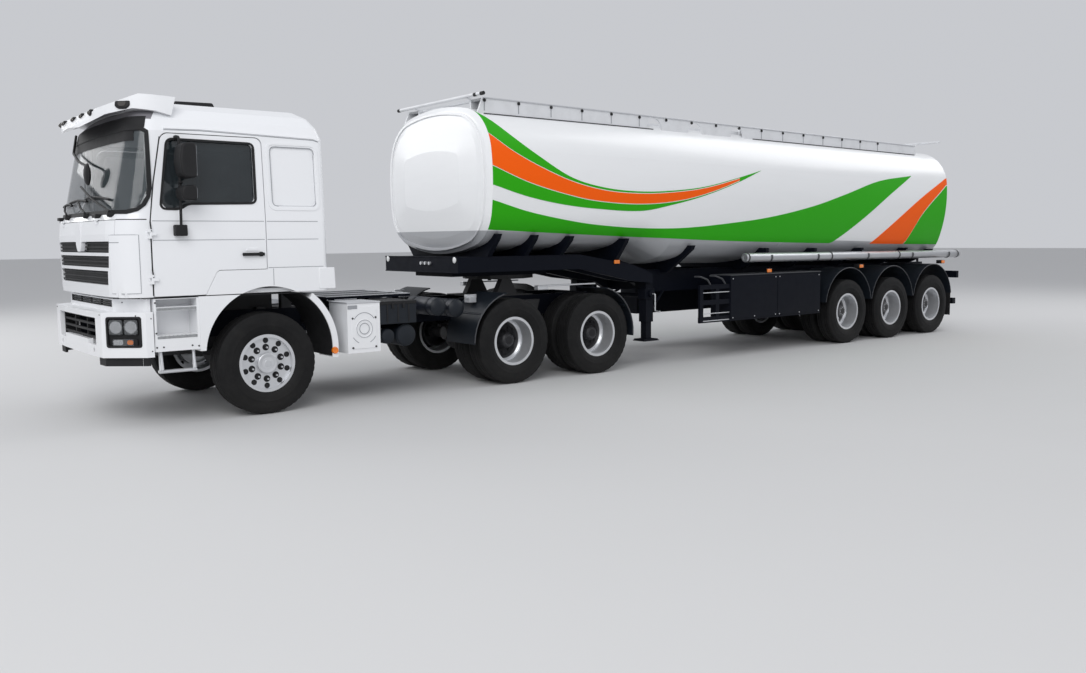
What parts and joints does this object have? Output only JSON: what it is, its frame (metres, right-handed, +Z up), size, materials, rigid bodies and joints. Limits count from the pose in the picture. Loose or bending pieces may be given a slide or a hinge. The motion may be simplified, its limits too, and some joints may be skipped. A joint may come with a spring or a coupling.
{
  "type": "articulated tanker truck",
  "caption": "Cab-over tractor with tilting cab, steering and opening doors, coupled to a tank semi-trailer with roof walkway, side hose tubes and lockers.",
  "frame": {"origin": "on the ground, under the middle of the truck's whole length and width", "axes": "+X forwards to the bumper, +Y to the truck's left, +Z up"},
  "size_m": [15.64, 2.95, 3.6217],
  "materials": {
    "tyre": "matt",
    "rim": "satin",
    "chassis": "satin",
    "axle": "rough",
    "paint": "gloss",
    "trim": "matt",
    "glass": "clear",
    "lamp": "clear",
    "lining": "woven",
    "tank": "gloss",
    "steel": "brushed",
    "tube": "satin"
  },
  "bodies": {
    "tractor": {"tractor_axles": "axle", "tractor_springs": "axle", "tractor_frame": "chassis", "engine_block": "axle", "front_bumper": "paint", "bumper_grilles": "trim", "headlamps": "lamp", "steps_fenders": "paint", "toolbox": "paint", "battery_box": "trim", "tractor_tanks": "steel", "fifth_wheel": "axle", "tandem_guards": "trim"},
    "cab": {"cab_shell": "paint", "windscreen": "glass", "sun_visor": "paint", "cab_interior": "lining"},
    "flap": {"front_flap": "paint", "grille": "trim"},
    "trailer": {"tank": "tank", "trailer_frame": "chassis", "trailer_axles": "axle", "landing_legs": "chassis", "side_lockers": "trim", "hose_tubes": "tube", "trailer_guards": "trim", "walkway": "steel", "rear_end": "chassis"},
    "knuckle_left": {"knuckle_left": "axle"},
    "front_wheel_left": {"front_tyre_left": "tyre", "front_rim_left": "rim"},
    "drive_wheel_1_left": {"drive_tyres_1_left": "tyre", "drive_rims_1_left": "rim"},
    "drive_wheel_2_left": {"drive_tyres_2_left": "tyre", "drive_rims_2_left": "rim"},
    "trailer_wheel_1_left": {"trailer_tyres_1_left": "tyre", "trailer_rims_1_left": "rim"},
    "trailer_wheel_2_left": {"trailer_tyres_2_left": "tyre", "trailer_rims_2_left": "rim"},
    "trailer_wheel_3_left": {"trailer_tyres_3_left": "tyre", "trailer_rims_3_left": "rim"},
    "door_left": {"door_left": "paint", "door_glass_left": "glass", "mirrors_left": "trim"},
    "knuckle_right": {"knuckle_right": "axle"},
    "front_wheel_right": {"front_tyre_right": "tyre", "front_rim_right": "rim"},
    "drive_wheel_1_right": {"drive_tyres_1_right": "tyre", "drive_rims_1_right": "rim"},
    "drive_wheel_2_right": {"drive_tyres_2_right": "tyre", "drive_rims_2_right": "rim"},
    "trailer_wheel_1_right": {"trailer_tyres_1_right": "tyre", "trailer_rims_1_right": "rim"},
    "trailer_wheel_2_right": {"trailer_tyres_2_right": "tyre", "trailer_rims_2_right": "rim"},
    "trailer_wheel_3_right": {"trailer_tyres_3_right": "tyre", "trailer_rims_3_right": "rim"},
    "door_right": {"door_right": "paint", "door_glass_right": "glass", "mirrors_right": "trim"}
  },
  "joints": [
    {"name": "cab_tilt", "type": "hinge", "parent": "tractor", "child": "cab", "pos_m": [7.64, 0, 0.95], "axis": [0, 1, 0], "range_deg": [0, 60]},
    {"name": "flap_lift", "type": "hinge", "parent": "cab", "child": "flap", "pos_m": [7.742, 0, 2.046], "axis": [0, -1, 0], "range_deg": [0, 80]},
    {"name": "fifth_wheel_pivot", "type": "hinge", "parent": "tractor", "child": "trailer", "pos_m": [2.537, 0, 1.34], "axis": [0, 0, 1], "range_deg": [-90, 90]},
    {"name": "steer_left", "type": "hinge", "parent": "tractor", "child": "knuckle_left", "pos_m": [6.24, 0.9, 0.54], "axis": [0, 0, 1], "range_deg": [-38, 38]},
    {"name": "front_spin_left", "type": "hinge", "parent": "knuckle_left", "child": "front_wheel_left", "pos_m": [6.24, 1.077, 0.54], "axis": [0, 1, 0], "continuous": true},
    {"name": "drive_spin_1_left", "type": "hinge", "parent": "tractor", "child": "drive_wheel_1_left", "pos_m": [2.997, 0.897, 0.54], "axis": [0, 1, 0], "continuous": true},
    {"name": "drive_spin_2_left", "type": "hinge", "parent": "tractor", "child": "drive_wheel_2_left", "pos_m": [1.597, 0.897, 0.54], "axis": [0, 1, 0], "continuous": true},
    {"name": "trailer_spin_1_left", "type": "hinge", "parent": "trailer", "child": "trailer_wheel_1_left", "pos_m": [-4.035, 0.917, 0.54], "axis": [0, 1, 0], "continuous": true},
    {"name": "trailer_spin_2_left", "type": "hinge", "parent": "trailer", "child": "trailer_wheel_2_left", "pos_m": [-5.345, 0.917, 0.54], "axis": [0, 1, 0], "continuous": true},
    {"name": "trailer_spin_3_left", "type": "hinge", "parent": "trailer", "child": "trailer_wheel_3_left", "pos_m": [-6.655, 0.917, 0.54], "axis": [0, 1, 0], "continuous": true},
    {"name": "door_swing_left", "type": "hinge", "parent": "cab", "child": "door_left", "pos_m": [7.382, 1.24, 2], "axis": [0, 0, -1], "range_deg": [0, 70]},
    {"name": "steer_right", "type": "hinge", "parent": "tractor", "child": "knuckle_right", "pos_m": [6.24, -0.9, 0.54], "axis": [0, 0, 1], "range_deg": [-38, 38]},
    {"name": "front_spin_right", "type": "hinge", "parent": "knuckle_right", "child": "front_wheel_right", "pos_m": [6.24, -1.077, 0.54], "axis": [0, 1, 0], "continuous": true},
    {"name": "drive_spin_1_right", "type": "hinge", "parent": "tractor", "child": "drive_wheel_1_right", "pos_m": [2.997, -0.897, 0.54], "axis": [0, 1, 0], "continuous": true},
    {"name": "drive_spin_2_right", "type": "hinge", "parent": "tractor", "child": "drive_wheel_2_right", "pos_m": [1.597, -0.897, 0.54], "axis": [0, 1, 0], "continuous": true},
    {"name": "trailer_spin_1_right", "type": "hinge", "parent": "trailer", "child": "trailer_wheel_1_right", "pos_m": [-4.035, -0.917, 0.54], "axis": [0, 1, 0], "continuous": true},
    {"name": "trailer_spin_2_right", "type": "hinge", "parent": "trailer", "child": "trailer_wheel_2_right", "pos_m": [-5.345, -0.917, 0.54], "axis": [0, 1, 0], "continuous": true},
    {"name": "trailer_spin_3_right", "type": "hinge", "parent": "trailer", "child": "trailer_wheel_3_right", "pos_m": [-6.655, -0.917, 0.54], "axis": [0, 1, 0], "continuous": true},
    {"name": "door_swing_right", "type": "hinge", "parent": "cab", "child": "door_right", "pos_m": [7.382, -1.24, 2], "axis": [0, 0, 1], "range_deg": [0, 70]}
  ],
  "couplings": [
    {"joint": "steer_right", "follows": "steer_left", "ratio": 1}
  ]
}
